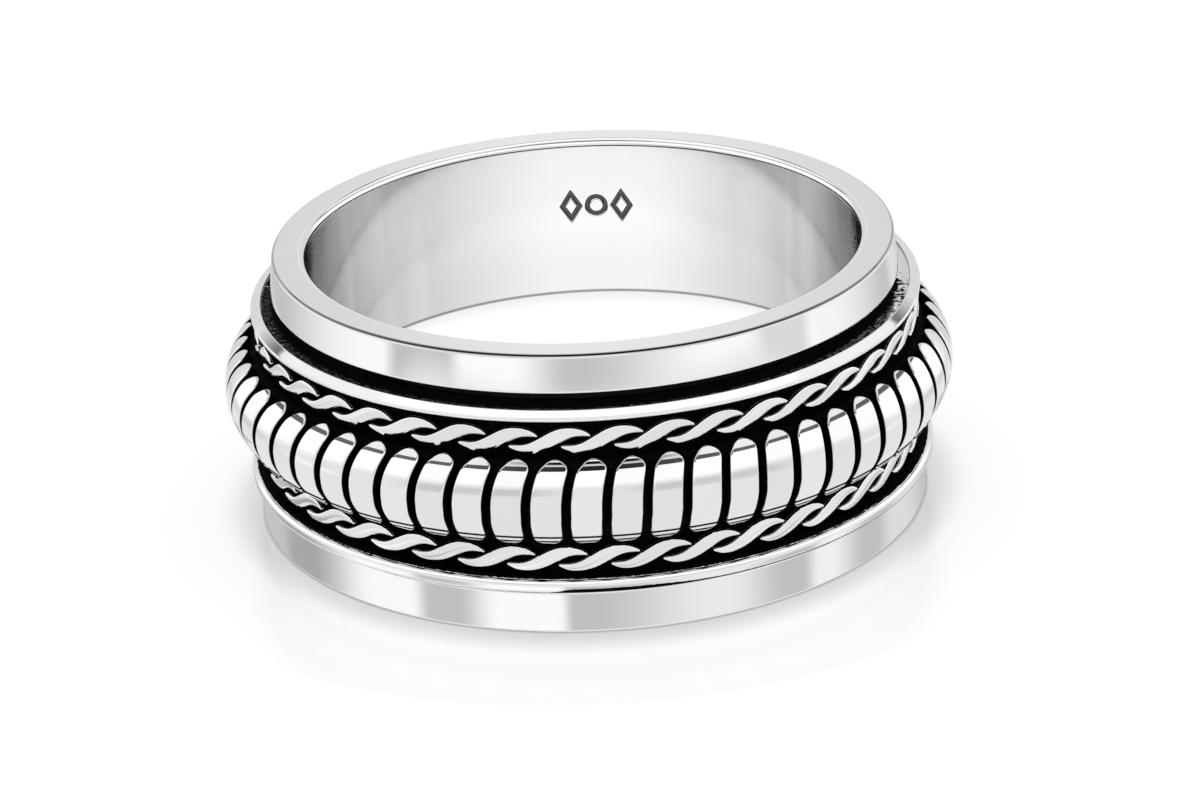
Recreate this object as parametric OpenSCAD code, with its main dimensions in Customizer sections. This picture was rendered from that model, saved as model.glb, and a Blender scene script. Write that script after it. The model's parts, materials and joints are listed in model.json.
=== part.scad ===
// Spinner ring: a polished inner band with a patterned band turning freely round it.
// It lies on its side: the finger's axis is +Z and the foot collar stands on z = 0.
// The origin is on that axis, on the surface that the ring lies on. Lengths are in millimetres.

/* [Finger] */
// Bore that the finger goes through
bore_d = 19.8; // [14:0.1:24]

/* [Inner band] */
// Wall of the sleeve that the spinner turns on
sleeve_wall = 0.6; // [0.4:0.05:1.2]
// How far the top collar stands out from the sleeve
top_lip = 0.6; // [0.3:0.05:1]
// Height of the top collar
top_collar_h = 1.42; // [0.8:0.02:2.5]
// How much wider the top collar is at its lower edge
top_flare = 0.16; // [0:0.02:0.3]
// How far the foot collar stands out from the sleeve
foot_lip = 1.56; // [0.6:0.02:2]
// Height of the foot collar
foot_collar_h = 1.55; // [0.8:0.05:2.5]
// Rounding of the two edges that touch the finger
bore_round = 0.25; // [0.05:0.01:0.3]
// Rounding of the collars' outer edges
collar_round = 0.1; // [0.03:0.01:0.25]

/* [Fit of the spinner] */
// Clearance all round between the sleeve and the spinner
running_gap = 0.06; // [0.02:0.01:0.1]
// Clearance between the spinner and the foot collar
foot_gap = 0.05; // [0.03:0.01:0.2]
// Clearance between the spinner and the top collar
top_gap = 0.3; // [0.05:0.01:0.5]

/* [Spinner band] */
// Wall from the spinner's bore to the floor of its channels
spinner_wall = 1; // [0.6:0.05:1.6]
// Width of the channel between the lower rail and the bars
lower_channel_w = 1.42; // [1.3:0.01:2]
// Width of the channel between the bars and the upper rail
upper_channel_w = 1.31; // [1.3:0.01:2]
// Height of the upper rail
upper_rail_h = 0.34; // [0.24:0.02:0.8]
// How far the upper rail stands out from the channel floor
upper_rail_rise = 0.44; // [0.2:0.02:1]
// Width of the upper rail's bright top
upper_rail_w = 0.38; // [0.2:0.02:0.6]
// Depth of the dark ledge between the upper rail and the sleeve
ledge_drop = 0.14; // [0.04:0.01:0.2]
// Height of the lower rail
lower_rail_h = 0.47; // [0.24:0.01:0.8]
// How far the lower rail stands out from the channel floor
lower_rail_rise = 0.8; // [0.2:0.02:1.2]
// Rounding of the rails' edges
rail_round = 0.1; // [0.03:0.01:0.11]

/* [Bars] */
// Number of bars round the spinner
bar_count = 60; // [40:1:64]
// Length of a bar, across the band
bar_length = 2.96; // [2:0.02:3.3]
// How far the bars stand out from the channel floor
bar_rise = 1.56; // [0.8:0.02:2]
// Radius of the bars' bend across the band
bar_bend_r = 1.78; // [1.7:0.02:2.6]
// Width of the groove between two bars, at their crest
bar_gap = 0.3; // [0.15:0.01:0.5]
// Height of the grooves' floor above the channel floor
groove_floor_rise = 0.4; // [0.1:0.02:0.6]
// Rounding of a bar's four corners
bar_corner = 0.36; // [0.1:0.02:0.36]
// Lean of the bars from the ring's axis, in degrees
bar_slant = 6; // [0:1:12]

/* [Ropes] */
// Number of crests in each rope, an even number for its two strands
crest_count = 42; // [32:2:46]
// Clearance between a rope and the lower side of its channel
rope_side_gap = 0.13; // [0.1:0.01:0.2]
// Height of a rope, across its channel
rope_h = 0.97; // [0.7:0.01:1.05]
// How far the crests stand out from the channel floor
rope_rise = 0.38; // [0.15:0.01:0.8]
// Width of a strand at the middle of its crest
strand_w = 0.62; // [0.4:0.01:0.66]
// Overlap of two crests along the rope, as a share of their spacing
crest_overlap = 0.54; // [0.3:0.01:0.58]

/* [Mark] */
// Height of the three plain signs cut inside the bore
mark_h = 1.3; // [0.8:0.1:2]
// Width of each sign
mark_w = 0.84; // [0.6:0.02:1.2]
// Space between two signs
mark_space = 0.12; // [0.05:0.01:0.4]
// Width of the signs' lines
mark_line = 0.16; // [0.08:0.01:0.2]
// Depth of the signs' lines
mark_depth = 0.1; // [0.04:0.01:0.2]
// Depth of the signs' middle below the top of the ring
mark_drop = 2.62; // [1.6:0.1:5]

/* [Hidden] */
$fn = 32;
round_fn = 180;
spill = 0.2;
silver = [0.84, 0.85, 0.86];
dark_silver = [0.55, 0.56, 0.58];

// Radii, from the finger outwards
bore_r = bore_d / 2;
sleeve_r = bore_r + sleeve_wall;
top_collar_r = sleeve_r + top_lip;
foot_collar_r = sleeve_r + foot_lip;
spinner_bore_r = sleeve_r + running_gap;
floor_r = spinner_bore_r + spinner_wall;
upper_rail_r = floor_r + upper_rail_rise;
lower_rail_r = floor_r + lower_rail_rise;
bar_crest_r = floor_r + bar_rise;
rope_crest_r = floor_r + rope_rise;

// Heights, from the surface upwards
spinner_z = foot_collar_h + foot_gap;
lower_channel_z = spinner_z + lower_rail_h;
bars_z = lower_channel_z + lower_channel_w;
upper_channel_z = bars_z + bar_length;
upper_rail_z = upper_channel_z + upper_channel_w;
spinner_top_z = upper_rail_z + upper_rail_h;
ledge_z = spinner_top_z - ledge_drop;
top_collar_z = spinner_top_z + top_gap;
ring_h = top_collar_z + top_collar_h;

// Bars: a dome across the band, parted by grooves
bar_ring_r = bar_crest_r - bar_bend_r;
bars_middle_z = bars_z + bar_length / 2;
groove_floor_r = floor_r + groove_floor_rise;
bar_pitch = 2 * PI * bar_crest_r / bar_count;
bar_w = bar_pitch - bar_gap;
bars_turn = -91.65;

// Ropes: each crest is an S whose middle follows a sine about the rope's middle
crest_pitch = 2 * PI * rope_crest_r / crest_count;
crest_half = crest_pitch * (1 + crest_overlap) / 2;
turn_share = 0.58;
rope_swing = (rope_h - strand_w * turn_share) / 2;
lower_rope_z = lower_channel_z + rope_side_gap + rope_h / 2;
upper_rope_z = upper_channel_z + rope_side_gap + rope_h / 2;
lower_rope_turn = -98.5;
upper_rope_turn = -97.1;

// One half of a crest, from its middle towards its tip:
// share of the half length, share of the strand's width
CREST = [
    [0.00, 1.00],
    [0.26, 0.90],
    [0.56, 0.60],
    [0.88, 0.32],
];

mark_back = 86.7;
mark_step = 360 * (mark_w + mark_space) / (2 * PI * bore_r);

// Takes a sharp edge off a profile; the metal lies towards the direction given
module edge_round(corner, radius, direction) {
    difference() {
        translate(corner + direction * (radius - spill) / 2)
            square(radius + spill, center = true);
        translate(corner + direction * radius)
            circle(radius);
    }
}

// Rectangle of a profile, between two radii and two heights
module section(r_in, z_low, r_out, z_high) {
    translate([r_in, z_low])
        square([r_out - r_in, z_high - z_low]);
}

// Stands a flat shape on the ring: its x runs round the ring and its y along the axis
module on_ring(turn, z, r_in, r_out) {
    rotate([0, 0, turn])
        translate([r_in, 0, z])
            rotate([90, 0, 90])
                linear_extrude(r_out - r_in)
                    children();
}

// Points of a rounding at corner b of an outline, between the sides towards a and c
function corner_points(a, b, c, radius, steps = 6) =
    let (
        back = (a - b) / norm(a - b),
        ahead = (c - b) / norm(c - b),
        half = acos(back * ahead) / 2,
        centre = b + (back + ahead) / norm(back + ahead) * radius / sin(half),
        first = b + back * radius / tan(half) - centre,
        start = atan2(first[1], first[0]),
        sweep = sign(back[1] * ahead[0] - back[0] * ahead[1]) * (180 - 2 * half)
    )
    [for (i = [0 : steps]) centre + radius * [cos(start + sweep * i / steps), sin(start + sweep * i / steps)]];

// The top collar flares a little towards its lower edge
module top_collar_profile() {
    inner_low = [bore_r, top_collar_z];
    outer_low = [top_collar_r + top_flare, top_collar_z];
    outer_high = [top_collar_r, ring_h];
    inner_high = [bore_r, ring_h];
    polygon([
        inner_low,
        each corner_points(inner_low, outer_low, outer_high, collar_round),
        each corner_points(outer_low, outer_high, inner_high, collar_round),
        inner_high,
    ]);
}

module inner_profile() {
    difference() {
        union() {
            section(bore_r, 0, sleeve_r, ring_h);
            section(bore_r, 0, foot_collar_r, foot_collar_h);
            top_collar_profile();
        }
        edge_round([bore_r, 0], bore_round, [1, 1]);
        edge_round([bore_r, ring_h], bore_round, [1, -1]);
        edge_round([foot_collar_r, 0], collar_round, [-1, 1]);
        edge_round([foot_collar_r, foot_collar_h], collar_round, [-1, -1]);
    }
}

module lozenge(width, height) {
    polygon([[-width / 2, 0], [0, -height / 2], [width / 2, 0], [0, height / 2]]);
}

module lozenge_sign() {
    share = 1 - 2 * mark_line / mark_w;
    difference() {
        lozenge(mark_w, mark_h);
        lozenge(mark_w * share, mark_h * share);
    }
}

module ring_sign() {
    difference() {
        circle(d = mark_w);
        circle(d = mark_w - 2 * mark_line);
    }
}

module mark() {
    for (side = [-1, 1])
        on_ring(mark_back + side * mark_step, ring_h - mark_drop, bore_r - spill, bore_r + mark_depth)
            lozenge_sign();
    on_ring(mark_back, ring_h - mark_drop, bore_r - spill, bore_r + mark_depth)
        ring_sign();
}

module spinner_profile() {
    difference() {
        union() {
            section(spinner_bore_r, spinner_z, floor_r, ledge_z);
            section(spinner_bore_r, upper_rail_z, upper_rail_r, ledge_z);
            section(upper_rail_r - upper_rail_w, upper_rail_z, upper_rail_r, spinner_top_z);
            section(spinner_bore_r, spinner_z, lower_rail_r, lower_channel_z);
            intersection() {
                translate([bar_ring_r, bars_middle_z])
                    circle(bar_bend_r, $fn = 64);
                section(spinner_bore_r, bars_z, bar_crest_r + spill, upper_channel_z);
            }
        }
        edge_round([upper_rail_r, spinner_top_z], rail_round, [-1, -1]);
        edge_round([upper_rail_r, upper_rail_z], rail_round, [-1, 1]);
        edge_round([lower_rail_r, lower_channel_z], rail_round, [-1, -1]);
        edge_round([lower_rail_r, spinner_z], rail_round, [-1, 1]);
    }
}

module bar_outline() {
    reach = bar_length + spill;
    square([bar_w - 2 * bar_corner, reach], center = true);
    square([bar_w, reach - 2 * bar_corner], center = true);
    for (x = [-1, 1], y = [-1, 1])
        translate([x * (bar_w / 2 - bar_corner), y * (reach / 2 - bar_corner)])
            circle(bar_corner);
}

// What is left between two neighbouring bars, with the flare at their rounded ends
module groove_outline() {
    difference() {
        square([bar_pitch, bar_length + spill / 2], center = true);
        for (side = [-1, 1])
            translate([side * bar_pitch / 2, 0])
                rotate(-bar_slant) bar_outline();
    }
}

module grooves() {
    for (i = [0 : bar_count - 1])
        on_ring(bars_turn + 360 * (i + 0.5) / bar_count, bars_middle_z, groove_floor_r, bar_crest_r + spill)
            groove_outline();
}

// Half width of a crest at a station of the table, on one side of its middle line
function crest_point(row, end, side) =
    let (x = end * row[0] * crest_half, middle = rope_swing * sin(180 * x / crest_pitch))
    [x, middle + side * row[1] * strand_w / 2];
function crest_tip(end) =
    [end * crest_half, rope_swing * sin(180 * end * crest_half / crest_pitch)];

module crest_outline() {
    last = len(CREST) - 1;
    polygon([
        for (i = [0 : last]) crest_point(CREST[i], 1, -1),
        crest_tip(1),
        for (i = [last : -1 : 0]) crest_point(CREST[i], 1, 1),
        for (i = [1 : last]) crest_point(CREST[i], -1, 1),
        crest_tip(-1),
        for (i = [last : -1 : 1]) crest_point(CREST[i], -1, -1),
    ]);
}

module rope(turn, z) {
    for (i = [0 : crest_count - 1])
        on_ring(turn + 360 * i / crest_count, z, floor_r - spill / 2, rope_crest_r)
            crest_outline();
}

module inner_band() {
    color(silver)
        difference() {
            rotate_extrude($fn = round_fn) inner_profile();
            mark();
        }
}

module spinner_band() {
    color(dark_silver)
        union() {
            difference() {
                rotate_extrude($fn = round_fn) spinner_profile();
                grooves();
            }
            rope(lower_rope_turn, lower_rope_z);
            rope(upper_rope_turn, upper_rope_z);
        }
}

inner_band();
spinner_band();
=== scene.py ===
"""Looks of the spinner ring: polished silver, blackened recesses, white studio.

Shapes are worked out in millimetres and turned into metres where a mesh is made.
Angles run round the ring's axis; the side that faces the camera is at FRONT.
"""

import json
import math

import bpy
import numpy as np
from mathutils import Matrix, Vector


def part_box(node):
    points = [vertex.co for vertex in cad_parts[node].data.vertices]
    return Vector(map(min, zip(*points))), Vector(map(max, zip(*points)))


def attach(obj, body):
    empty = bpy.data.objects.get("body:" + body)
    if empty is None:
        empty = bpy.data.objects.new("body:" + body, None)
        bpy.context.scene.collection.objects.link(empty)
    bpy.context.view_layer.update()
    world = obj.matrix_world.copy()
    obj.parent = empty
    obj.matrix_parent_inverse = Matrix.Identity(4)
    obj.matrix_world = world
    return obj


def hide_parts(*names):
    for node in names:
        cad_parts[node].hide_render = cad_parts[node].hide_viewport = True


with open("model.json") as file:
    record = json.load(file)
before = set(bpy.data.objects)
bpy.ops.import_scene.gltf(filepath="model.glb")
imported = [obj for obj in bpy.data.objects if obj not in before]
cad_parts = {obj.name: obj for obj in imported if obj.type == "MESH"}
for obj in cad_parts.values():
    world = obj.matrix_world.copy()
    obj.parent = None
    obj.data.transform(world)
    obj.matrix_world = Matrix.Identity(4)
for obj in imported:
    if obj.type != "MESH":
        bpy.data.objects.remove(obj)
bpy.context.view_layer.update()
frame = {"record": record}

MM = 0.001
FRONT = -90.0

# Ring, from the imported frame
inner_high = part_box("inner_band")[1]
spinner_low, spinner_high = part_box("spinner_band")
bore_r = frame["record"]["mounts"][0]["dims"]["r_mm"]
foot_collar_r = inner_high.x / MM
ring_h = inner_high.z / MM
spinner_z = spinner_low.z / MM
spinner_top_z = spinner_high.z / MM

# Inner band
sleeve_r = bore_r + 0.6
top_collar_r = sleeve_r + 0.6
top_flare = 0.16
top_collar_z = ring_h - 1.42
foot_collar_h = spinner_z - 0.05
bore_round = 0.25
collar_round = 0.13
foot_round = 0.06
sleeve_round = 0.05

# Painted dark reflection line on the top collar's outer edge: its two sides and their softness in
# degrees round the edge's rounding, and the share of it that is lost towards the back
line_low = 20
line_high = 62
line_soft = 14
line_lost = 0.5

# Spinner band
spinner_bore_r = sleeve_r + 0.06
floor_r = spinner_bore_r + 1.0
upper_rail_r = floor_r + 0.44
upper_rail_z = spinner_top_z - 0.34
ledge_r = upper_rail_r - 0.38
ledge_z = spinner_top_z - 0.14
lower_rail_r = floor_r + 0.8
lower_channel_z = spinner_z + 0.47
rail_round = 0.1
lower_round = 0.22
upper_round = 0.05
upper_slope = 0.2
ledge_round = 0.05
spinner_bore_round = 0.04
floor_round = 0.03

# Row of bars: a dome across the band, rounded over at the top end of each bar
bars_z = lower_channel_z + 1.42
upper_channel_z = bars_z + 2.96
bar_high = 1.52
dome_z = bars_z + bar_high
bar_count = 60
bar_crest_r = floor_r + 1.56
dome_r = 1.78
dome_ring_r = bar_crest_r - dome_r
bar_end_round = 0.26
bar_gap = 0.31
bar_w = 2 * math.pi * bar_crest_r / bar_count - bar_gap
bar_edge = 0.07
bar_depth = 0.7
bar_bright = 0.04
bars_turn = -91.28
bars_seed = 7
# A bar bows sideways up to a stop near its top end, and stands a little aside under its middle
bar_bow = 0.105
bow_stop = 1.58
bow_start = 0.15
low_aside = 0.028
aside_over = 0.5
# Lower end of a bar: a crease with a painted dark reflection line along it, and a shallow lip
# under it
bar_low = 1.62
crease_low = 1.15
crease_reflection_half = 0.035
lip_r = 1.0
lip_ring_r = dome_ring_r + 0.51
lip_drop = 0.675
# Corner of a bar: across it, along it, and the power of its curve
upper_corner = (0.50, 0.35, 2.0)
lower_corner = (0.50, 0.45, 1.5)

# Core under the bars, the floor of the grooves between them
core_crest_r = bar_crest_r - 0.6
core_end_r = floor_r + 0.44
core_half = upper_channel_z - dome_z - 0.1

# Ropes
crest_count = 42
crest_r = floor_r + 0.38
crest_pitch = 2 * math.pi * crest_r / crest_count
crest_swing = 0.305
crest_half = 1.39
crest_tip = 0.02
crest_edge = 0.07
crest_depth = 0.5
crest_crown = 0.045
crest_crown_half = 0.3
crest_bright = 0.1
rope_seed = 3
# First crest of a rope in degrees, and height of the rope's middle
rope_middle = 0.585
lower_rope = (-98.3, lower_channel_z + rope_middle)
upper_rope = (-96.9, upper_channel_z + rope_middle)
# Share of the crest's half length, half width of the strand there
CREST = [
    (0.00, 0.315),
    (0.25, 0.283),
    (0.49, 0.206),
    (0.73, 0.145),
    (0.85, 0.115),
    (0.96, 0.060),
    (1.00, 0.015),
]

# Mark inside the bore: a ring between two lozenges, in a fine patch of the wall
mark_turn = 86.7
mark_z = ring_h - 2.62
mark_w = 0.84
mark_h = 1.3
mark_step = mark_w + 0.12
mark_line = 0.16
mark_spill = 0.02
mark_wall = 0.05
mark_depth = 0.1
mark_patch = 0.75
mark_row = 0.025
mark_column = 0.14

# Height at which the bore wall's painted satin reflection turns into a brighter painted reflection
# of the floor, and where the painted satin reflection is brightest, in radians off the back
painted_floor_line = 3.7
painted_highlight_turn = 0.07

# Blackening: how quickly metal turns bright past an edge, how far the black of the lower channel
# comes out over its rail, height of the painted gap shade over the foot collar, and wear of the
# ledge
crisp = 8
crisp_floor = 3
floor_black = 0.17
gap_shade_height = 0.12
ledge_worn = 0.01
ledge_black = 0.12
near = 0.05

# Spacing of points: along a profile, and round the ring in degrees
inner_spacing = 0.5
casting_spacing = 0.14
column_turn = 1.0
# Distances under which two radii are the same, and two places almost so
same_r = 1e-6
hair = 0.001


def mesh_piece(name, points, faces, slots=None):
    """A mesh object from points in millimetres and faces, with one material slot per face."""
    mesh = bpy.data.meshes.new(name)
    mesh.from_pydata((np.asarray(points) * MM).tolist(), [], faces)
    mesh.polygons.foreach_set("use_smooth", [True] * len(mesh.polygons))
    if slots is not None:
        mesh.polygons.foreach_set("material_index", np.asarray(slots, np.int32))
    mesh.update()
    piece = bpy.data.objects.new(name, mesh)
    bpy.context.scene.collection.objects.link(piece)
    return piece


def store(piece, name, values):
    """Keeps one number per point of a mesh, for its material."""
    layer = piece.data.attributes.new(name, "FLOAT", "POINT")
    layer.data.foreach_set("value", np.asarray(values, np.float32).ravel())


def arc(centre, radius, start, end, steps):
    """Points of an arc in the (r, z) plane, angles in degrees."""
    turns = np.radians(np.linspace(start, end, steps + 1))
    return [(centre[0] + radius * math.cos(t), centre[1] + radius * math.sin(t)) for t in turns]


def rounded(corners, steps=8):
    """A closed outline from rows of (r, z, radius of that corner)."""
    points = []
    for i, (r, z, radius) in enumerate(corners):
        if radius == 0:
            points.append((r, z))
            continue
        here = Vector((r, z))
        back = (Vector(corners[i - 1][:2]) - here).normalized()
        ahead = (Vector(corners[(i + 1) % len(corners)][:2]) - here).normalized()
        half = back.angle(ahead) / 2
        centre = here + (back + ahead).normalized() * (radius / math.sin(half))
        first = here + back * (radius / math.tan(half)) - centre
        last = here + ahead * (radius / math.tan(half)) - centre
        start = math.atan2(first.y, first.x)
        sweep = (math.atan2(last.y, last.x) - start + math.pi) % (2 * math.pi) - math.pi
        points += arc(centre, radius, math.degrees(start), math.degrees(start + sweep), steps)
    return points


def supported(points, longest, margin=0.02):
    """Adds points along an outline's straight stretches, close to their ends and in between."""
    result = []
    for i, here in enumerate(points):
        ahead = points[(i + 1) % len(points)]
        length = math.dist(here, ahead)
        result.append(here)
        if length < 4 * margin:
            continue
        inner = max(1, math.ceil((length - 2 * margin) / longest))
        for share in np.linspace(margin / length, 1 - margin / length, inner + 1):
            r, z = (a + (b - a) * share for a, b in zip(here, ahead))
            result.append((r, z))
    return result


def lathe(name, outline, turns, pick_slot=None, push=None):
    """Turns a closed outline of (r, z) round the axis, one column of points per angle."""
    outline = np.array(outline)
    turns = np.radians(turns)
    rows, columns = len(outline), len(turns)
    r = np.repeat(outline[:, :1], columns, 1)
    z = np.repeat(outline[:, 1:], columns, 1)
    t = np.repeat(turns[None, :], rows, 0)
    if push is not None:
        r = r + push(r, z, t)
    points = np.stack([r * np.cos(t), r * np.sin(t), z], -1).reshape(-1, 3)
    row, column = np.meshgrid(np.arange(rows), np.arange(columns), indexing="ij")
    here, below = row * columns, (row + 1) % rows * columns
    beside = (column + 1) % columns
    faces = np.stack([here + column, here + beside, below + beside, below + column], -1)
    slots = None
    if pick_slot is not None:
        middle = (outline + np.roll(outline, -1, 0)) / 2
        slots = np.repeat([pick_slot(*m) for m in middle], columns)
    return mesh_piece(name, points, faces.reshape(-1, 4).tolist(), slots), r, z, t


def eased(x, start=0.0, width=1.0):
    """Eases from 0 to 1 as x goes on from start by the given width."""
    x = np.clip((x - start) / width, 0, 1)
    return x * x * (3 - 2 * x)


def off_front(turns):
    """Degrees from the camera's side, -180 to 180, of angles in radians."""
    return (np.degrees(turns) - FRONT + 180) % 360 - 180


def edge_drop(distance, radius):
    """How far a rounded edge lies under the surface, at a distance in from its rim."""
    inward = np.clip(radius - distance, 0, radius)
    return radius - np.sqrt(np.maximum(radius ** 2 - inward ** 2, 0))


def relief(stations, half_width, end_distance, edge, depth):
    """One raised piece as a grid in its own flat frame: along x, across y and depth under the top.

    Each station gives a section: up one wall, over the rounded edges and the top, down the
    other wall. The grid's two end sections close the piece.
    """
    edge_shares = np.array([0.0, 0.15, 0.4, 0.7, 1.0, 1.5])
    widest_edge = 0.8
    top_points = 3
    along, across, under = [], [], []
    for x, half, to_end in zip(stations, half_width, end_distance):
        rounding = min(edge, widest_edge * half)
        inward = np.minimum(edge_shares * rounding, half)
        side = half - inward
        top = np.linspace(-side[-1], side[-1], top_points + 2)[1:-1]
        y = np.concatenate([-side[:1], -side, top, side[::-1], side[:1]])
        inside = np.full(top_points, 2 * rounding)
        rim = np.concatenate([inward[:1], inward, inside, inward[::-1], inward[:1]])
        drop = np.maximum(edge_drop(rim, rounding), edge_drop(np.full(len(rim), to_end), edge))
        drop[0] = drop[-1] = depth
        along.append(np.full(len(y), x))
        across.append(y)
        under.append(drop)
    foot = np.full(len(under[0]), depth)
    along = np.array([along[0], *along, along[-1]])
    across = np.array([across[0], *across, across[-1]])
    return along, across, np.array([foot, *under, foot])


def ring_faces(rows, columns):
    """Faces of a grid whose columns close into a loop, with a cap at its first and last row."""
    row, column = np.meshgrid(np.arange(rows - 1), np.arange(columns), indexing="ij")
    here, beside = row * columns + column, row * columns + (column + 1) % columns
    walls = np.stack([here, here + columns, beside + columns, beside], -1).reshape(-1, 4)
    first = list(range(columns))
    last = [(rows - 1) * columns + k for k in reversed(first)]
    return walls.tolist() + [first, last]


def repeat_relief(name, grids, shine, tones):
    """Joins many placed grids into one mesh, and keeps each point's shine and each grid's tone."""
    rows, columns = grids[0].shape[:2]
    faces = ring_faces(rows, columns)
    count = rows * columns
    all_faces = [[v + k * count for v in face] for k in range(len(grids)) for face in faces]
    piece = mesh_piece(name, np.concatenate([g.reshape(-1, 3) for g in grids]), all_faces)
    store(piece, "shine", np.tile(shine.ravel(), len(grids)))
    store(piece, "tone", np.repeat(tones, count))
    return piece


def mark_signs(r, z, t):
    """How far the mark is cut into the bore wall: a ring between two lozenges, as lines."""
    x = -(np.degrees(t) - mark_turn) * math.pi / 180 * bore_r
    y = z - mark_z
    ring = np.abs(np.hypot(x, y) - (mark_w - mark_line) / 2)
    lean = math.hypot(mark_w, mark_h)
    middle = mark_w * mark_h / 2 / lean - mark_line / 2
    lozenges = [
        np.abs((np.abs(x + side * mark_step) * mark_h + np.abs(y) * mark_w) / lean - middle)
        for side in (-1, 1)
    ]
    line = np.minimum(ring, np.minimum(*lozenges))
    depth = mark_depth * eased((mark_line / 2 + mark_spill - line) / mark_wall)
    return np.where(np.abs(r - bore_r) < same_r, depth, 0)


def inner_band():
    """Polished sleeve with its two collars, its bore and the mark in it."""
    corners = [
        (bore_r, 0, bore_round),
        (bore_r, ring_h, bore_round),
        (top_collar_r, ring_h, collar_round),
        (top_collar_r + top_flare, top_collar_z, collar_round),
        (sleeve_r, top_collar_z, sleeve_round),
        (sleeve_r, foot_collar_h, sleeve_round),
        (foot_collar_r, foot_collar_h, collar_round),
        (foot_collar_r, 0, foot_round),
    ]
    outline = supported(rounded(corners), inner_spacing)
    patch_low, patch_high = mark_z - mark_patch, mark_z + mark_patch
    patch = [(bore_r, z) for z in np.arange(patch_low, patch_high + mark_row / 2, mark_row)]
    wall = [p for p in outline if abs(p[0] - bore_r) < same_r]
    rest = [p for p in outline if abs(p[0] - bore_r) >= same_r]
    below = [p for p in wall if p[1] <= patch_low]
    above = [p for p in wall if p[1] >= patch_high]
    start = next(i for i, p in enumerate(rest) if p[1] > ring_h / 2)
    outline = below + patch + above + rest[start:] + rest[:start]

    span = math.degrees(1.5 * mark_step / bore_r) + column_turn
    coarse = np.arange(0, 360, column_turn)
    coarse = coarse[np.abs(coarse - mark_turn) > span]
    fine = np.arange(mark_turn - span, mark_turn + span, mark_column)
    turns = np.sort(np.concatenate([coarse, fine]))

    def slot_of(r, z):
        return 1 if r < bore_r + hair else 0

    piece, r, z, t = lathe("polished_inner_band", outline, turns, slot_of, mark_signs)
    cut = (r > bore_r + mark_depth / 5) & (r < bore_r + mark_depth * 2)
    store(piece, "cut", cut & (np.abs(z - mark_z) < mark_patch))

    # Painted reflection: a dark line round the top collar's outer rounding, fainter towards the
    # back
    up = z - ring_h + collar_round
    out = r - top_collar_r + collar_round
    tilt = np.degrees(np.arctan2(up, out))
    rim = eased(tilt, line_low, line_soft) * (1 - eased(tilt, line_high, line_soft))
    rim = rim * (1 - line_lost * eased(np.abs(off_front(t)), 20, 70))
    store(piece, "rim", np.where((up > 0) & (out > -hair), rim, 0))
    return piece


def casting_outline():
    """Profile of the spinner's cast body, with the core's arc between its two channels."""
    corners = [
        (spinner_bore_r, spinner_z, spinner_bore_round),
        (spinner_bore_r, ledge_z, 0),
        (ledge_r, ledge_z, 0),
        (ledge_r, spinner_top_z, ledge_round),
        (upper_rail_r, spinner_top_z - upper_slope, upper_round),
        (upper_rail_r, upper_rail_z, upper_round),
        (floor_r, upper_rail_z, floor_round),
        (floor_r, dome_z + core_half, 0),
        (floor_r, dome_z - core_half, 0),
        (floor_r, lower_channel_z, floor_round),
        (lower_rail_r, lower_channel_z, lower_round),
        (lower_rail_r, spinner_z, rail_round),
    ]
    outline = rounded(corners)
    rise = core_crest_r - core_end_r
    bend_r = (core_half ** 2 + rise ** 2) / (2 * rise)
    reach = math.degrees(math.asin(core_half / bend_r))
    core = arc((core_crest_r - bend_r, dome_z), bend_r, reach, -reach, 24)
    cut = outline.index((floor_r, dome_z + core_half))
    return supported(outline[:cut + 1] + core + outline[cut + 1:], casting_spacing)


def spinner_casting():
    """Cast body of the spinner: rails, ledge, channel floors and the core under the bars."""
    turns = np.arange(0, 360, column_turn)
    piece, r, z, t = lathe("spinner_casting", casting_outline(), turns)
    turn = off_front(t)

    # The ledge is black, speckled at the right and worn bright at the right back
    open_r = top_collar_r + top_flare
    speckled = np.minimum(ledge_worn, 0.5 * (r - open_r - near))
    worn_side = eased(turn, 40, 25) * (1 - eased(turn, 100, 25))
    worn_back = eased(turn, 78, 14) * worn_side
    speckled = speckled - ledge_black * (1 - worn_side) + ledge_black * worn_back
    over_ledge = np.maximum(crisp * (r - ledge_r + 0.01), speckled / 2)
    over_ledge = np.minimum(over_ledge, crisp * (z - upper_rail_z - 0.015))
    over_ledge = np.where(z > upper_rail_z - near, over_ledge, -1)

    # The black of the lower channel ends on its rail's rounding
    over_floor = crisp_floor * (r - lower_rail_r + floor_black)
    over_floor = np.where(z < lower_channel_z + near, over_floor, -1)

    # Painted shade of the gap over the foot collar: a thin dark line, with a wider wedge that
    # starts at the front
    shade_wedge = eased(turn, -8, 4) * (1 - 0.7 * eased(turn, 4, 18))
    over_gap_shade = crisp * (z - spinner_z - gap_shade_height * (0.35 + shade_wedge))
    over_gap_shade = np.where(r > foot_collar_r, over_gap_shade, 1)
    store(piece, "shine", np.maximum(over_ledge, np.minimum(over_floor, over_gap_shade)))

    # Tone on the ledge: rises outwards from the top collar, leaving the black bare next to the
    # collar as a painted shadow
    on_ledge = (r < ledge_r + 0.01) & (z > ledge_z - 0.01)
    store(piece, "tone", np.where(on_ledge, eased(r, open_r - 0.02, 0.16), 0))
    return piece


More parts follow.
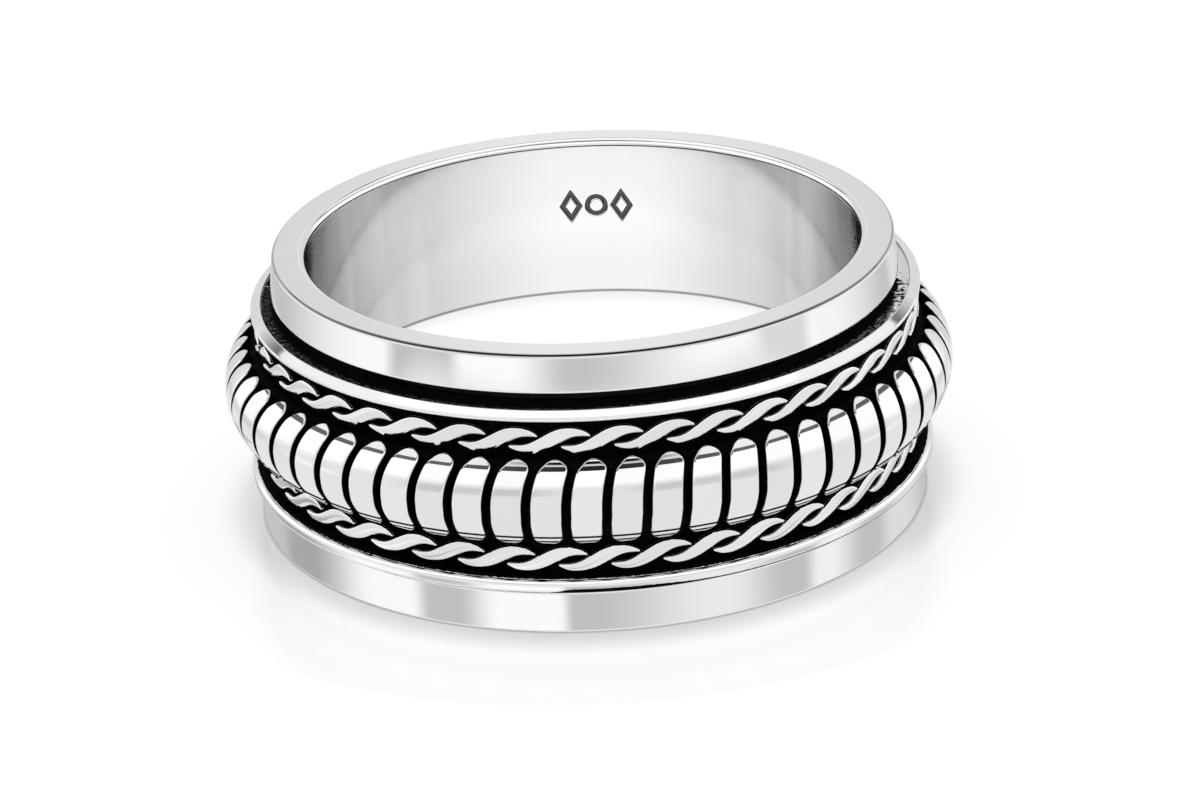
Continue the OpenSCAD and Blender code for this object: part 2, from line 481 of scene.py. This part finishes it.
def bar_profile(height):
    """Radius and outward direction of the bars' profile, at a height over the dome's middle."""
    end_z = bar_high - bar_end_round
    reach = dome_r - bar_end_round
    on_end = height > dome_r * end_z / reach
    on_lip = height < -crease_low
    ring_r = np.where(on_lip, lip_ring_r, dome_ring_r)
    ring_r = np.where(on_end, dome_ring_r + math.sqrt(reach ** 2 - end_z ** 2), ring_r)
    middle_z = np.where(on_end, end_z, np.where(on_lip, -lip_drop, 0.0))
    bend = np.where(on_end, bar_end_round, np.where(on_lip, lip_r, dome_r))
    turn = np.arcsin(np.clip((height - middle_z) / bend, -1, 1))
    return ring_r + bend * np.cos(turn), np.cos(turn), np.sin(turn)


def corner_in(distance, corner):
    """How far a rounded corner draws a bar's side in, at a distance from the bar's end."""
    width, length, power = corner
    share = np.clip(1 - distance / length, 0, 1)
    return width * (1 - (1 - share ** power) ** (1 / power))


def bar_heights():
    """Heights of the bars' sections, close together at the corners and at the crease."""
    quarter = 1 - np.sin(np.radians(np.linspace(0, 90, 17)))
    at_lower_corner = lower_corner[1] * quarter - bar_low
    at_crease = np.linspace(-0.04, 0.06, 6) - crease_low
    between = np.linspace(0.1 - crease_low, bar_high - upper_corner[1], 34)
    at_upper_corner = bar_high - upper_corner[1] * quarter
    heights = np.concatenate([at_lower_corner, at_crease, between, at_upper_corner])
    return np.unique(heights.round(4))


def bar_row():
    """Domed bars, each with rounded ends and edges, parted by black grooves."""
    heights = bar_heights()
    half_width = bar_w / 2 - corner_in(bar_high - heights, upper_corner)
    half_width = half_width - corner_in(heights + bar_low, lower_corner)
    profile_r = bar_profile(heights)[0]
    along = np.concatenate([[0], np.cumsum(np.hypot(np.diff(profile_r), np.diff(heights)))])
    end_distance = np.minimum(along, along[-1] - along)
    x, y, under = relief(heights, half_width, end_distance, bar_edge, bar_depth)
    r, out_r, out_z = bar_profile(x)
    off_middle = np.interp(x, heights, along - np.interp(0, heights, along))
    aside = bar_bow * (np.clip(off_middle, -bow_start, bow_stop) + bow_start) ** 2
    aside = aside - low_aside * eased(-off_middle, bow_start, aside_over)
    r, z = r - under * out_r, dome_z + x - under * out_z
    tones = np.random.default_rng(bars_seed).uniform(0.1, 1, bar_count)
    tones[0] = 0
    grids = []
    for k in range(bar_count):
        turn = math.radians(bars_turn + 360 * k / bar_count) + (y + aside) / bar_crest_r
        grids.append(np.stack([r * np.cos(turn), r * np.sin(turn), z], -1))
    # Black in the grooves past the bars' rounded edges, and a painted dark reflection line along
    # the crease
    shine = np.minimum(bar_bright - under, np.abs(x + crease_low) - crease_reflection_half)
    return repeat_relief("bar_row", grids, shine, tones)


def rope(name, first_turn, z_middle):
    """One rope: S-shaped crests that follow each other along a channel."""
    closer_to_tips = 1.6
    shares = 1 - (1 - np.linspace(0, 1, 17)) ** closer_to_tips
    shares = np.concatenate([-shares[::-1], shares[1:]])
    table = np.array(CREST)
    width = np.interp(np.abs(shares), table[:, 0], table[:, 1])
    width[1:-1] = np.convolve(width, [0.25, 0.5, 0.25], "valid")
    end_distance = (1 - np.abs(shares)) * crest_half + crest_tip
    x, y, under = relief(shares * crest_half, width, end_distance, crest_edge, crest_depth)
    z = z_middle + crest_swing * np.sin(math.pi * x / crest_pitch) + y
    r = crest_r - under - crest_crown * (y / crest_crown_half) ** 2
    grids = []
    for k in range(crest_count):
        turn = math.radians(first_turn + 360 * k / crest_count) + x / crest_r
        grids.append(np.stack([r * np.cos(turn), r * np.sin(turn), z], -1))
    tones = np.random.default_rng(rope_seed).uniform(0, 1, crest_count)
    return repeat_relief(name, grids, crest_bright - under, tones)


class Nodes:
    """Short ways to build a node tree."""

    def __init__(self, tree):
        self.tree = tree
        tree.nodes.clear()

    def add(self, kind, **values):
        node = self.tree.nodes.new(kind)
        for key, value in values.items():
            setattr(node, key, value)
        return node

    def link(self, source, target):
        self.tree.links.new(source, target)

    def math(self, operation, a, b=0.0):
        """One operation on one or two numbers or sockets."""
        node = self.add("ShaderNodeMath", operation=operation)
        for socket, value in zip(node.inputs, (a, b)):
            if isinstance(value, (int, float)):
                socket.default_value = value
            else:
                self.link(value, socket)
        return node.outputs[0]

    def times(self, a, b):
        return self.math("MULTIPLY", a, b)

    def ease(self, value, low, high, from_value=0.0, to_value=1.0):
        """Smoothly maps low..high to from_value..to_value."""
        node = self.add("ShaderNodeMapRange", interpolation_type="SMOOTHSTEP")
        self.link(value, node.inputs["Value"])
        node.inputs["From Min"].default_value = low
        node.inputs["From Max"].default_value = high
        node.inputs["To Min"].default_value = from_value
        node.inputs["To Max"].default_value = to_value
        return node.outputs["Result"]

    def window(self, value, low, high, soft):
        """1 between low and high, easing to 0 within soft outside them."""
        rise = self.ease(value, low - soft, low)
        fall = self.ease(value, high, high + soft, 1.0, 0.0)
        return self.times(rise, fall)

    def mix(self, factor, a, b):
        """Mixes two numbers, or two colours given as tuples."""
        colour = isinstance(a, tuple) or isinstance(b, tuple)
        node = self.add("ShaderNodeMix", data_type="RGBA" if colour else "FLOAT")
        first = 6 if colour else 2
        self.link(factor, node.inputs[0])
        for socket, value in ((node.inputs[first], a), (node.inputs[first + 1], b)):
            if isinstance(value, tuple):
                socket.default_value = value + (1.0,)
            elif isinstance(value, (int, float)):
                socket.default_value = value
            else:
                self.link(value, socket)
        return node.outputs[2 if colour else 0]

    def position(self, space="Object"):
        """Sockets of x, y and z, in metres in the object's own space."""
        place = self.add("ShaderNodeTexCoord")
        split = self.add("ShaderNodeSeparateXYZ")
        self.link(place.outputs[space], split.inputs[0])
        return split.outputs

    def noise(self, scale, detail=3.0):
        """Noise in the object's own space, with the given number of features per metre."""
        place = self.add("ShaderNodeTexCoord")
        node = self.add("ShaderNodeTexNoise")
        node.inputs["Scale"].default_value = scale
        node.inputs["Detail"].default_value = detail
        self.link(place.outputs["Object"], node.inputs["Vector"])
        return node.outputs[0]

    def strokes(self, round_scale, along_scale):
        """Noise drawn out along the axis: fine round the ring and long across it."""
        x, y, z = self.position()
        joined = self.add("ShaderNodeCombineXYZ")
        self.link(self.times(self.math("ARCTAN2", y, x), round_scale), joined.inputs[0])
        self.link(self.times(z, along_scale), joined.inputs[1])
        node = self.add("ShaderNodeTexNoise")
        node.inputs["Scale"].default_value = 1.0
        self.link(joined.outputs[0], node.inputs["Vector"])
        return node.outputs[0]

    def attribute(self, name):
        return self.add("ShaderNodeAttribute", attribute_name=name).outputs["Fac"]


def one_shader(name, kind):
    """A new material with one shader, with its node builder, that shader and its output."""
    material = bpy.data.materials.new(name)
    material.use_nodes = True
    nodes = Nodes(material.node_tree)
    shader = nodes.add(kind)
    output = nodes.add("ShaderNodeOutputMaterial")
    nodes.link(shader.outputs[0], output.inputs["Surface"])
    return material, nodes, shader, output


def surface(name, specular=0.5):
    """A new material with one Principled shader."""
    material, nodes, shader = one_shader(name, "ShaderNodeBsdfPrincipled")[:3]
    shader.inputs["Specular IOR Level"].default_value = specular
    return material, nodes, shader


def glow(name, strength):
    """A new material with one emission shader, for what only lights or mirrors in the metal."""
    material, nodes, shader, output = one_shader(name, "ShaderNodeEmission")
    shader.inputs["Strength"].default_value = strength
    return material, nodes, shader, output


# Colours of the metal, and the dust and roughness of its black
SILVER = (0.922, 0.925, 0.938)
UNEVEN_SILVER = (0.902, 0.905, 0.918)
BORE_SILVER = (0.985, 0.99, 1.0)
BLACK = (0.0012, 0.0012, 0.0014)
DUST = (0.07, 0.07, 0.072)
LEAST_DUST = 0.06
BLACK_ROUGH = 0.7
# Painted dark reflection on the top collar's outer edge
RIM_PAINTED_REFLECTION = (0.02, 0.02, 0.02)
MARK_BLACK = (0.12, 0.12, 0.125)


def polished_silver():
    """Mirror finish with a faint unevenness of the polish and a painted dark reflection line."""
    material, nodes, shader = surface("polished_silver")
    shader.inputs["Metallic"].default_value = 1.0
    silver = nodes.mix(nodes.noise(900), SILVER, UNEVEN_SILVER)
    # Painted dark reflection line round the top collar's outer edge
    silver = nodes.mix(nodes.attribute("rim"), silver, RIM_PAINTED_REFLECTION)
    nodes.link(silver, shader.inputs["Base Color"])
    nodes.link(nodes.ease(nodes.noise(2500), 0.3, 0.8, 0.05, 0.08), shader.inputs["Roughness"])
    return material


def bore_painted_reflection():
    """Bore wall: a painted satin reflection over a brighter painted reflection of the floor.

    The painted reflection has faint streaks along the axis and is painted darker towards the
    sides.
    A thin painted shade line parts it from the painted floor, and the lines of the mark are
    blackened.
    """
    material, nodes, shader = surface("bore_painted_reflection", 0.1)
    x, y, z = nodes.position()

    # Painted satin reflection: brightest a little aside of the back, with streaks, painted darker
    # towards the sides and lighter towards the top
    from_back = nodes.math("ARCTAN2", x, y)
    off_back = nodes.math("ABSOLUTE", from_back)
    off_painted_highlight = nodes.math("ABSOLUTE", nodes.math("SUBTRACT", from_back, painted_highlight_turn))
    strokes = nodes.ease(nodes.strokes(6, 60), 0.35, 0.65, 0.81, 0.99)
    strokes = nodes.mix(nodes.ease(off_back, 0.4, 1.0), 1.0, strokes)
    satin = nodes.times(nodes.ease(off_painted_highlight, 0.1, 0.7, 0.88, 0.66), strokes)
    satin = nodes.times(satin, nodes.ease(off_back, 0.85, 1.4, 1.0, 0.27))
    satin = nodes.times(satin, nodes.ease(z, 4.2 * MM, 7.8 * MM, 0.95, 1.07))

    # Painted reflection of the floor in the lower zone, parted from the satin reflection by a thin
    # painted shade line
    over_line = nodes.math("SUBTRACT", z, painted_floor_line * MM)
    upper = nodes.ease(over_line, -0.03 * MM, 0.03 * MM)
    polished = nodes.ease(over_line, -0.6 * MM, 0.0, 0.92, 0.80)
    tone = nodes.mix(upper, polished, satin)
    from_line = nodes.math("ABSOLUTE", over_line)
    tone = nodes.times(tone, nodes.ease(from_line, 0.01 * MM, 0.09 * MM, 0.35, 1.0))
    silver = nodes.mix(tone, (0, 0, 0), BORE_SILVER)

    cut = nodes.attribute("cut")
    nodes.link(nodes.mix(cut, silver, MARK_BLACK), shader.inputs["Base Color"])
    nodes.link(nodes.mix(cut, 1.0, 0.6), shader.inputs["Metallic"])
    nodes.link(nodes.ease(nodes.noise(1500), 0.3, 0.8, 0.11, 0.15), shader.inputs["Roughness"])
    return material


def oxidised_silver(name, rough, ragged, dust, dullest):
    """Bright where the metal is raised, black in the recesses, with a ragged line between."""
    material, nodes, shader = surface(name, 0.02)
    wander = nodes.times(nodes.math("SUBTRACT", nodes.noise(6000, 4.0), 0.5), ragged)
    height = nodes.math("ADD", nodes.attribute("shine"), wander)
    bright = nodes.ease(height, -0.01, 0.02)
    # The tone dulls the silver and adds dust to the black; it varies at random from piece to
    # piece, and on the ledge it is a painted shadow next to the top collar
    tone = nodes.attribute("tone")
    grain = nodes.ease(nodes.noise(9000, 6.0), 0.45, 0.65)
    grain = nodes.times(grain, nodes.math("ADD", nodes.times(tone, dust), LEAST_DUST))
    black = nodes.mix(grain, BLACK, DUST)
    silver = nodes.mix(tone, SILVER, dullest)
    nodes.link(nodes.mix(bright, black, silver), shader.inputs["Base Color"])
    nodes.link(bright, shader.inputs["Metallic"])
    nodes.link(nodes.mix(bright, BLACK_ROUGH, rough), shader.inputs["Roughness"])
    return material


def table_surface():
    """White table that glows evenly, with a short soft shadow painted into its glow at the ring's
    foot.
    """
    material, nodes, shader = surface("white_table")
    pale = nodes.mix(nodes.noise(40), (0.46, 0.46, 0.46), (0.47, 0.47, 0.47))
    nodes.link(pale, shader.inputs["Base Color"])
    shader.inputs["Roughness"].default_value = 0.22
    shader.inputs["Emission Color"].default_value = (1, 1, 1, 1)
    place = nodes.add("ShaderNodeTexCoord")
    length = nodes.add("ShaderNodeVectorMath", operation="LENGTH")
    nodes.link(place.outputs["Object"], length.inputs[0])
    wall = (foot_collar_r - bore_r) / 2
    off_wall = nodes.math("SUBTRACT", length.outputs["Value"], (bore_r + wall) * MM)
    off_foot = nodes.math("SUBTRACT", nodes.math("ABSOLUTE", off_wall), wall * MM)
    # Painted shadow and painted contact shade at the ring's foot, in the table's glow
    shadow = nodes.ease(off_foot, 0.0, 1.8 * MM, 0.32, 0.60)
    contact = nodes.ease(off_foot, -0.04 * MM, 0.16 * MM, 0.12, 1.0)
    nodes.link(nodes.times(shadow, contact), shader.inputs["Emission Strength"])
    return material


# Light of the studio that is mirrored in the metal
CARD_LIGHT = 0.86
BORE_LIGHT = 1.10
CAMERA_RISE = math.radians(23.28)
STRIP_BASE = 0.57
# Upright lights round the ring, those mirrored in the top collar and those mirrored in the foot
# collar: azimuth of the middle in degrees from the camera's side, half width, softness on the
# left and on the right, brightness
TOP_STRIPS = [
    (-81, 3, 63, 8, 0.46),
    (-36, 8, 8, 22, 0.50),
    (53, 3, 55, 12, 0.50),
    (77, 6, 19, 8, 0.18),
    (92, 3, 8, 48, 0.42),
    (154, 3, 12, 12, 0.25),
]
FOOT_STRIPS = [
    (-122, 6, 14, 14, -0.15),
    (-76, 8, 24, 8, 0.46),
    (-24, 10, 16, 5, 0.48),
    (42, 2, 44, 24, 0.32),
    (84, 2, 8, 20, 0.38),
    (128, 4, 12, 30, 0.20),
]

# Sheets of the studio: points round a sheet, heights, the table's radius, and the outer card's
# hole, its reach at the front, how far it is drawn in at the sides, and its fading outer strip
SHEET_POINTS = 96
TABLE_Z = -0.002
CARD_Z = -0.001
TABLE_R = 2000
CARD_HOLE_R = 17.5
CARD_REACH = 60
CARD_DRAWN_IN = 29
CARD_FADE = 8


def strips(nodes, azimuth, rows):
    """Brightness of a row of upright lights, by azimuth in degrees."""
    light = STRIP_BASE
    for middle, half, soft_left, soft_right, brightness in rows:
        rise = nodes.ease(azimuth, middle - half - soft_left, middle - half)
        fall = nodes.ease(azimuth, middle + half, middle + half + soft_right, 1.0, 0.0)
        light = nodes.math("ADD", light, nodes.times(nodes.times(rise, fall), brightness))
    return light


def studio():
    """White tent: a high white wall, a dark gap over it, a pale lower half with upright lights."""
    world = bpy.context.scene.world or bpy.data.worlds.new("studio")
    bpy.context.scene.world = world
    world.use_nodes = True
    nodes = Nodes(world.node_tree)
    x, y, z = nodes.position("Generated")
    toward = nodes.times(y, -1.0)
    elevation = nodes.times(nodes.math("ARCSINE", z), 180 / math.pi)
    azimuth = nodes.times(nodes.math("ARCTAN2", x, toward), 180 / math.pi)
    off_side = nodes.math("ABSOLUTE", x)
    away, up = nodes.times(y, math.sin(CAMERA_RISE)), nodes.times(z, math.cos(CAMERA_RISE))
    rise = nodes.math("ADD", away, up)

    # Lower half: pale, a little darker at the front's two sides, with the two rows of lights
    front_sides = nodes.window(nodes.math("ABSOLUTE", azimuth), 22, 50, 16)
    dip = nodes.times(nodes.window(rise, -0.16, -0.06, 0.14), front_sides)
    lower = nodes.math("SUBTRACT", CARD_LIGHT, nodes.times(dip, 0.2))
    foot_lights = strips(nodes, azimuth, FOOT_STRIPS)
    top_lights = strips(nodes, azimuth, TOP_STRIPS)
    upright = nodes.mix(nodes.ease(elevation, -23, -17), foot_lights, top_lights)
    lower = nodes.mix(nodes.window(elevation, -28, -9.4, 1.3), lower, upright)

    # Upper half: white, and greyer behind the ring but for a bright line in its middle
    behind = nodes.ease(toward, -0.86, -0.72, 1.0, 0.0)
    back_wall = nodes.mix(nodes.ease(off_side, 0.01, 0.07), 0.86, 0.73)
    upper = nodes.mix(behind, 1.12, back_wall)
    light = nodes.mix(nodes.ease(rise, 0.0, 0.22), lower, upper)

    # Dark gap high on the camera's side, a pale band over it, a second dark line, a white top
    ahead = nodes.math("SUBTRACT", 1.0, behind)
    dark = nodes.ease(off_side, 0.0, 0.6, 0.02, 0.14)
    light = nodes.mix(nodes.times(nodes.ease(rise, 0.645, 0.655), ahead), light, dark)
    pale = nodes.ease(off_side, 0.15, 0.4, 0.7, 0.95)
    narrowed = nodes.math("ADD", rise, nodes.ease(off_side, 0.2, 0.55, 0.0, 0.05))
    light = nodes.mix(nodes.times(nodes.ease(narrowed, 0.78, 0.79), ahead), light, pale)
    second_dark = nodes.ease(off_side, 0.1, 0.35, 0.01, 0.95)
    light = nodes.mix(nodes.window(rise, 0.835, 0.895, 0.008), light, second_dark)
    light = nodes.mix(nodes.ease(rise, 0.90, 0.91), light, 1.1)

    background = nodes.add("ShaderNodeBackground")
    nodes.link(light, background.inputs["Color"])
    output = nodes.add("ShaderNodeOutputWorld")
    nodes.link(background.outputs[0], output.inputs["Surface"])


def sheet(name, radius, height, material):
    """A flat round sheet of the studio."""
    turns = np.linspace(0, 2 * math.pi, SHEET_POINTS, endpoint=False)
    z = np.full(SHEET_POINTS, height)
    edge = np.stack([radius * np.cos(turns), radius * np.sin(turns), z], -1)
    piece = mesh_piece(name, edge, [list(range(SHEET_POINTS))])
    piece.data.materials.append(material)
    return piece


def outer_card_surface():
    """Pale card round the ring, mirrored in the bars, that fades out at its outer edge."""
    material, nodes, shader, output = glow("outer_card", CARD_LIGHT)
    clear = nodes.add("ShaderNodeBsdfTransparent")
    mixed = nodes.add("ShaderNodeMixShader")
    nodes.link(nodes.attribute("solid"), mixed.inputs[0])
    nodes.link(clear.outputs[0], mixed.inputs[1])
    nodes.link(shader.outputs[0], mixed.inputs[2])
    nodes.link(mixed.outputs[0], output.inputs["Surface"])
    return material


def outer_card():
    """Flat card round the ring, drawn in at its sides, solid but for its outer strip."""
    steps = SHEET_POINTS
    turns = np.linspace(0, 2 * math.pi, steps, endpoint=False)
    reach = CARD_REACH - CARD_DRAWN_IN * eased(np.abs(off_front(turns)), 50, 35)
    loops = np.array([np.full(steps, CARD_HOLE_R), reach - CARD_FADE, reach])
    z = np.full_like(loops, CARD_Z)
    points = np.stack([loops * np.cos(turns), loops * np.sin(turns), z], -1)
    faces = [
        [row + k, row + (k + 1) % steps, row + steps + (k + 1) % steps, row + steps + k]
        for row in (0, steps) for k in range(steps)
    ]
    piece = mesh_piece("outer_card", points.reshape(-1, 3), faces)
    store(piece, "solid", np.repeat([1.0, 1.0, 0.0], steps))
    piece.data.materials.append(outer_card_surface())
    return piece


def only_mirrored(piece):
    """Lets a sheet show in the metal alone."""
    piece.visible_camera = False
    piece.visible_diffuse = False
    piece.visible_shadow = False


def camera():
    """Looks at the ring from a little above, as the photo does."""
    distance, roll = 155.54, math.radians(-2.86)
    aim = Vector((0.341, 0, 3.369))
    forward = Vector((0, math.cos(CAMERA_RISE), -math.sin(CAMERA_RISE)))
    right = Vector((1, 0, 0))
    up = right.cross(forward)
    side = right * math.cos(roll) + up * math.sin(roll)
    top = up * math.cos(roll) - right * math.sin(roll)
    data = bpy.data.cameras.new("camera")
    data.sensor_width = 36.0
    data.lens = 128.6
    data.clip_start = 0.001
    data.clip_end = 20.0
    eye = bpy.data.objects.new("camera", data)
    bpy.context.scene.collection.objects.link(eye)
    turn = Matrix((side, top, -forward)).transposed().to_4x4()
    eye.matrix_world = Matrix.Translation((aim - forward * distance) * MM) @ turn
    bpy.context.scene.camera = eye


def main():
    camera()
    studio()
    bpy.context.scene.view_settings.view_transform = "Standard"

    table = sheet("table", TABLE_R, TABLE_Z, table_surface())
    table.visible_glossy = False
    only_mirrored(outer_card())
    only_mirrored(sheet("bore_card", bore_r, CARD_Z, glow("bore_card", BORE_LIGHT)[0]))

    band = inner_band()
    band.data.materials.append(polished_silver())
    band.data.materials.append(bore_painted_reflection())
    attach(band, "inner_band")
    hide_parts("inner_band")

    # Each kind of cast metal: roughness, raggedness of its black line, dust, its dullest silver
    mirror = oxidised_silver("bright_relief", 0.025, 0.012, 0.0, (0.86, 0.86, 0.86))
    satin = oxidised_silver("rope_relief", 0.09, 0.06, 0.2, (0.84, 0.84, 0.84))
    rails = oxidised_silver("rail_relief", 0.07, 0.3, 2.0, (0.80, 0.80, 0.80))
    casting = spinner_casting()
    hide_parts("spinner_band")
    for piece, material in (
        (casting, rails),
        (bar_row(), mirror),
        (rope("upper_rope", *upper_rope), satin),
        (rope("lower_rope", *lower_rope), satin),
    ):
        piece.data.materials.append(material)
        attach(piece, "spinner")


main()
